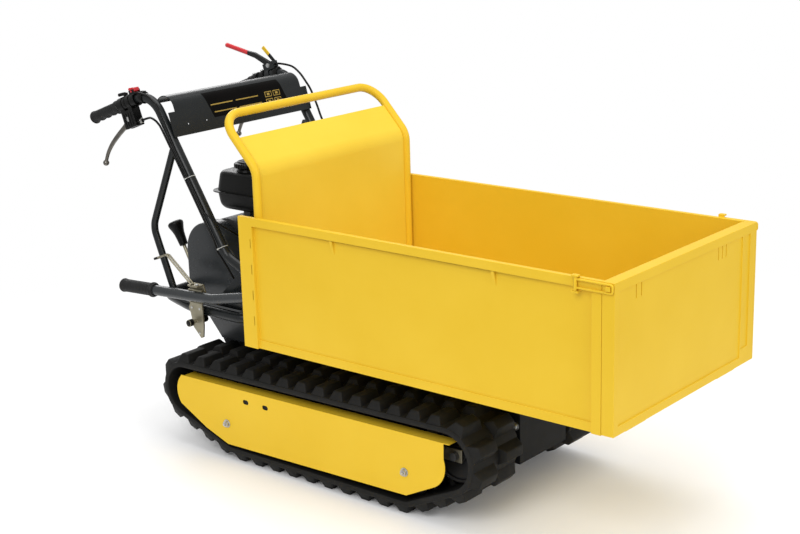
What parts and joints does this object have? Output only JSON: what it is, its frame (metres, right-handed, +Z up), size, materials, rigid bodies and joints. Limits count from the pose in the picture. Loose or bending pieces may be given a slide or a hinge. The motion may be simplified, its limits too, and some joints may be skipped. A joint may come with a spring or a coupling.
{
  "type": "tracked power carrier",
  "caption": "Walk-behind tracked carrier with a tipping steel load box and drop gate, headboard, rubber tracks, rear engine with belt drive, and a handlebar with levers and panel.",
  "frame": {"origin": "on the ground below the middle of the machine's overall length and width", "axes": "+X towards the load box's gate, +Y to the operator's left, +Z up"},
  "size_m": [1.6695, 0.64, 0.9976],
  "materials": {
    "yellow_paint": "semi-gloss warm yellow powder coat",
    "grey_paint": "semi-gloss dark grey powder coat",
    "black_paint": "satin black paint",
    "black_rubber": "matt black rubber",
    "black_plastic": "matt black plastic",
    "red_plastic": "gloss red plastic",
    "cast_metal": "dark cast metal",
    "alloy": "cast alloy",
    "zinc_plate": "yellowish zinc plate"
  },
  "bodies": {
    "chassis": {"chassis_frame": "grey_paint", "rear_loop": "grey_paint", "track_frame_right": "grey_paint", "track_frame_left": "grey_paint", "side_cover_right": "yellow_paint", "side_cover_left": "yellow_paint", "track_belt_right": "black_rubber", "track_belt_left": "black_rubber", "wheel_axles": "zinc_plate", "track_tensioners": "zinc_plate", "gearbox": "cast_metal", "drive_belt": "black_rubber", "belt_cover": "grey_paint", "engine_block": "alloy", "recoil_starter": "black_plastic", "fuel_tank": "black_paint", "air_filter": "black_plastic", "muffler": "black_paint", "handlebar_right": "grey_paint", "handlebar_left": "grey_paint", "handlebar_braces": "grey_paint", "control_panel": "grey_paint", "hand_grips": "black_rubber", "lever_perches": "black_plastic", "clutch_bracket": "grey_paint", "control_cables": "black_plastic", "tip_hinge_pin": "zinc_plate", "zinc_bolts": "zinc_plate"},
    "sprocket_right": {"drive_sprocket_right": "cast_metal"},
    "sprocket_left": {"drive_sprocket_left": "cast_metal"},
    "idler_right": {"idler_wheel_right": "cast_metal"},
    "idler_left": {"idler_wheel_left": "cast_metal"},
    "engine_pulley": {"engine_pulley": "cast_metal"},
    "gearbox_pulley": {"gearbox_pulley": "cast_metal"},
    "tension_arm": {"tension_arm": "zinc_plate"},
    "clutch_lever": {"clutch_lever": "red_plastic"},
    "lever_lock": {"lever_lock": "yellow_paint"},
    "switch_rocker": {"switch_rocker": "red_plastic"},
    "throttle_lever": {"throttle_lever": "black_plastic"},
    "gear_lever": {"gear_lever": "black_plastic"},
    "fuel_cap": {"fuel_cap": "black_plastic"},
    "steering_lever_right": {"steering_lever_right": "alloy"},
    "steering_lever_left": {"steering_lever_left": "alloy"},
    "load_box": {"box_floor": "yellow_paint", "box_side_right": "yellow_paint", "box_side_left": "yellow_paint", "headboard_sheet": "yellow_paint", "headboard_frame": "yellow_paint", "tip_handle": "grey_paint", "tip_grip": "black_rubber"},
    "front_gate": {"front_gate": "yellow_paint"},
    "gate_latch_right": {"gate_latch_right": "yellow_paint"},
    "gate_latch_left": {"gate_latch_left": "yellow_paint"},
    "tip_latch": {"tip_latch": "zinc_plate"},
    "roller_right_1": {"roller_right_1": "black_paint"},
    "roller_right_2": {"roller_right_2": "black_paint"},
    "roller_right_3": {"roller_right_3": "black_paint"},
    "roller_left_1": {"roller_left_1": "black_paint"},
    "roller_left_2": {"roller_left_2": "black_paint"},
    "roller_left_3": {"roller_left_3": "black_paint"}
  },
  "joints": [
    {"name": "sprocket_right_spin", "type": "hinge", "parent": "chassis", "child": "sprocket_right", "pos_m": [-0.494, -0.202, 0.159], "axis": [0, 1, 0], "continuous": true},
    {"name": "idler_right_spin", "type": "hinge", "parent": "chassis", "child": "idler_right", "pos_m": [0.376, -0.202, 0.166], "axis": [0, 1, 0], "continuous": true},
    {"name": "roller_right_1_spin", "type": "hinge", "parent": "chassis", "child": "roller_right_1", "pos_m": [-0.324, -0.202, 0.075], "axis": [0, 1, 0], "continuous": true},
    {"name": "roller_right_2_spin", "type": "hinge", "parent": "chassis", "child": "roller_right_2", "pos_m": [-0.025, -0.202, 0.075], "axis": [0, 1, 0], "continuous": true},
    {"name": "roller_right_3_spin", "type": "hinge", "parent": "chassis", "child": "roller_right_3", "pos_m": [0.25, -0.202, 0.075], "axis": [0, 1, 0], "continuous": true},
    {"name": "sprocket_left_spin", "type": "hinge", "parent": "chassis", "child": "sprocket_left", "pos_m": [-0.494, 0.202, 0.159], "axis": [0, 1, 0], "continuous": true},
    {"name": "idler_left_spin", "type": "hinge", "parent": "chassis", "child": "idler_left", "pos_m": [0.376, 0.202, 0.166], "axis": [0, 1, 0], "continuous": true},
    {"name": "roller_left_1_spin", "type": "hinge", "parent": "chassis", "child": "roller_left_1", "pos_m": [-0.324, 0.202, 0.075], "axis": [0, 1, 0], "continuous": true},
    {"name": "roller_left_2_spin", "type": "hinge", "parent": "chassis", "child": "roller_left_2", "pos_m": [-0.025, 0.202, 0.075], "axis": [0, 1, 0], "continuous": true},
    {"name": "roller_left_3_spin", "type": "hinge", "parent": "chassis", "child": "roller_left_3", "pos_m": [0.25, 0.202, 0.075], "axis": [0, 1, 0], "continuous": true},
    {"name": "engine_pulley_spin", "type": "hinge", "parent": "chassis", "child": "engine_pulley", "pos_m": [-0.521, -0.124, 0.498], "axis": [0, 1, 0], "continuous": true},
    {"name": "gearbox_pulley_spin", "type": "hinge", "parent": "chassis", "child": "gearbox_pulley", "pos_m": [-0.44, -0.124, 0.335], "axis": [0, 1, 0], "continuous": true},
    {"name": "steering_lever_right_pull", "type": "hinge", "parent": "chassis", "child": "steering_lever_right", "pos_m": [-0.67108, -0.25, 0.86407], "axis": [0, 1, 0], "range_deg": [0, 22], "stiffness_Nm_per_rad": 3},
    {"name": "steering_lever_left_pull", "type": "hinge", "parent": "chassis", "child": "steering_lever_left", "pos_m": [-0.67108, 0.25, 0.86407], "axis": [0, 1, 0], "range_deg": [0, 22], "stiffness_Nm_per_rad": 3},
    {"name": "clutch_lever_press", "type": "hinge", "parent": "chassis", "child": "clutch_lever", "pos_m": [-0.64667, 0.25, 0.94319], "axis": [0, -1, 0], "range_deg": [0, 18], "stiffness_Nm_per_rad": 4},
    {"name": "tension_arm_swing", "type": "hinge", "parent": "chassis", "child": "tension_arm", "pos_m": [-0.4, -0.11, 0.452], "axis": [0, 1, 0], "range_deg": [0, 10]},
    {"name": "lever_lock_tilt", "type": "hinge", "parent": "chassis", "child": "lever_lock", "pos_m": [-0.63343, 0.25, 0.95067], "axis": [0, 1, 0], "range_deg": [0, 30], "stiffness_Nm_per_rad": 0.3},
    {"name": "switch_rocker_tilt", "type": "hinge", "parent": "chassis", "child": "switch_rocker", "pos_m": [-0.65427, -0.25, 0.93776], "axis": [0, 1, 0], "range_deg": [0, 14]},
    {"name": "throttle_lever_turn", "type": "hinge", "parent": "chassis", "child": "throttle_lever", "pos_m": [-0.68168, -0.25, 0.9049], "axis": [0.9397, 0, 0.342], "range_deg": [-50, 0]},
    {"name": "gear_lever_swing", "type": "hinge", "parent": "chassis", "child": "gear_lever", "pos_m": [-0.645, -0.062, 0.345], "axis": [0, 1, 0], "range_deg": [-12, 12]},
    {"name": "fuel_cap_turn", "type": "hinge", "parent": "chassis", "child": "fuel_cap", "pos_m": [-0.463, -0.045, 0.73], "axis": [0, 0, 1], "range_deg": [0, 90]},
    {"name": "box_tip", "type": "hinge", "parent": "chassis", "child": "load_box", "pos_m": [0.5, 0, 0.3], "axis": [0, 1, 0], "range_deg": [0, 58]},
    {"name": "gate_drop", "type": "hinge", "parent": "load_box", "child": "front_gate", "pos_m": [0.825, 0, 0.332], "axis": [0, 1, 0], "range_deg": [0, 120]},
    {"name": "gate_latch_left_swing", "type": "hinge", "parent": "load_box", "child": "gate_latch_left", "pos_m": [0.749, 0.315, 0.659], "axis": [0, 0, 1], "range_deg": [0, 150]},
    {"name": "gate_latch_right_swing", "type": "hinge", "parent": "load_box", "child": "gate_latch_right", "pos_m": [0.749, -0.315, 0.659], "axis": [0, 0, -1], "range_deg": [0, 150]},
    {"name": "tip_latch_swing", "type": "hinge", "parent": "load_box", "child": "tip_latch", "pos_m": [-0.428, -0.292, 0.4287], "axis": [-0.9987, 0, -0.0501], "range_deg": [0, 30]}
  ],
  "couplings": [
    {"joint": "idler_right_spin", "follows": "sprocket_right_spin", "ratio": 0.88571},
    {"joint": "roller_right_1_spin", "follows": "sprocket_right_spin", "ratio": 1.55},
    {"joint": "roller_right_2_spin", "follows": "sprocket_right_spin", "ratio": 1.55},
    {"joint": "roller_right_3_spin", "follows": "sprocket_right_spin", "ratio": 1.55},
    {"joint": "idler_left_spin", "follows": "sprocket_left_spin", "ratio": 0.88571},
    {"joint": "roller_left_1_spin", "follows": "sprocket_left_spin", "ratio": 1.55},
    {"joint": "roller_left_2_spin", "follows": "sprocket_left_spin", "ratio": 1.55},
    {"joint": "roller_left_3_spin", "follows": "sprocket_left_spin", "ratio": 1.55},
    {"joint": "engine_pulley_spin", "follows": "gearbox_pulley_spin", "ratio": 1.4211},
    {"joint": "tension_arm_swing", "follows": "clutch_lever_press", "ratio": 0.5}
  ]
}
